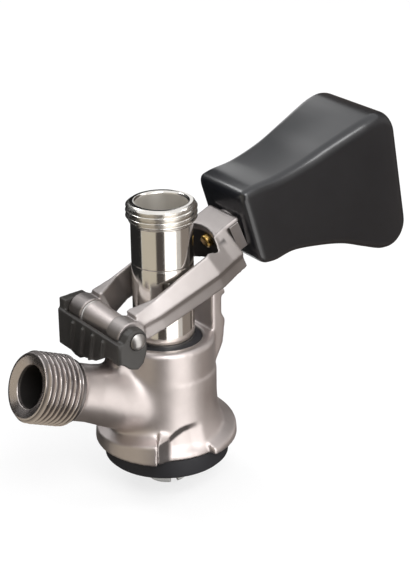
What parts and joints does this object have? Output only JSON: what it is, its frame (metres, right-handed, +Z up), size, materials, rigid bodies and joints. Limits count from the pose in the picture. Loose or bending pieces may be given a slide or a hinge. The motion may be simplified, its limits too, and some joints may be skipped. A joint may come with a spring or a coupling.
{
  "type": "keg coupler",
  "caption": "Keg tap coupler with a bayonet base, a side gas inlet, a sliding probe and a forked lever with a spring latch and a flared grip.",
  "frame": {"origin": "on the probe axis, in the plane where the bottom seal meets the keg neck", "axes": "+Z up along the probe to the beer outlet; +X towards the lever's grip; the gas inlet points to -X"},
  "size_m": [0.144, 0.046, 0.1158],
  "materials": {
    "satin_casting": "bead-blasted nickel-plated casting, warm grey",
    "polished_steel": "turned and polished stainless steel",
    "lever_casting": "satin tumbled casting, warm grey",
    "bright_steel": "bright turned steel",
    "brass": "turned brass",
    "black_rubber": "moulded black rubber",
    "clip_plastic": "moulded black plastic, satin",
    "grip_plastic": "moulded black plastic, semi-gloss",
    "white_plastic": "turned acetal",
    "spring_steel": "drawn spring wire"
  },
  "bodies": {
    "body": {"body_casting": "satin_casting", "keg_seal": "black_rubber", "neck_lip_seal": "black_rubber", "neck_bush": "white_plastic", "neck_wiper": "black_rubber", "gas_check_valve": "black_rubber", "gas_valve_retainer": "brass", "hinge_pin": "bright_steel", "hinge_washer_front": "white_plastic", "hinge_washer_rear": "white_plastic", "hinge_clip": "clip_plastic"},
    "probe": {"probe_tube": "polished_steel", "probe_seal": "black_rubber", "probe_tip": "bright_steel", "ball_cage": "white_plastic"},
    "ball": {"check_ball": "white_plastic"},
    "lever": {"lever_fork": "lever_casting", "fork_stud_front": "bright_steel", "fork_stud_rear": "bright_steel", "latch_spring": "spring_steel", "spring_gland": "brass"},
    "handle": {"latch_plunger": "brass", "pull_rod": "bright_steel", "grip_carrier": "lever_casting", "rod_insert": "brass", "grip": "grip_plastic"}
  },
  "joints": [
    {"name": "lever_hinge", "type": "hinge", "parent": "body", "child": "lever", "pos_m": [-0.0217, 0, 0.0525], "axis": [0, 1, 0], "range_deg": [0, 27]},
    {"name": "probe_slide", "type": "slide", "parent": "body", "child": "probe", "axis": [0, 0, -1], "range_m": [0, 0.0105]},
    {"name": "grip_slide", "type": "slide", "parent": "lever", "child": "handle", "axis": [0.9135, 0, 0.4067], "range_m": [-0.00125, 0.0025], "stiffness_N_per_m": 4000},
    {"name": "ball_lift", "type": "slide", "parent": "probe", "child": "ball", "axis": [0, 0, 1], "range_m": [0, 0.003]}
  ],
  "couplings": [
    {"joint": "probe_slide", "follows": "lever_hinge", "m_per_rad": 0.022065}
  ]
}
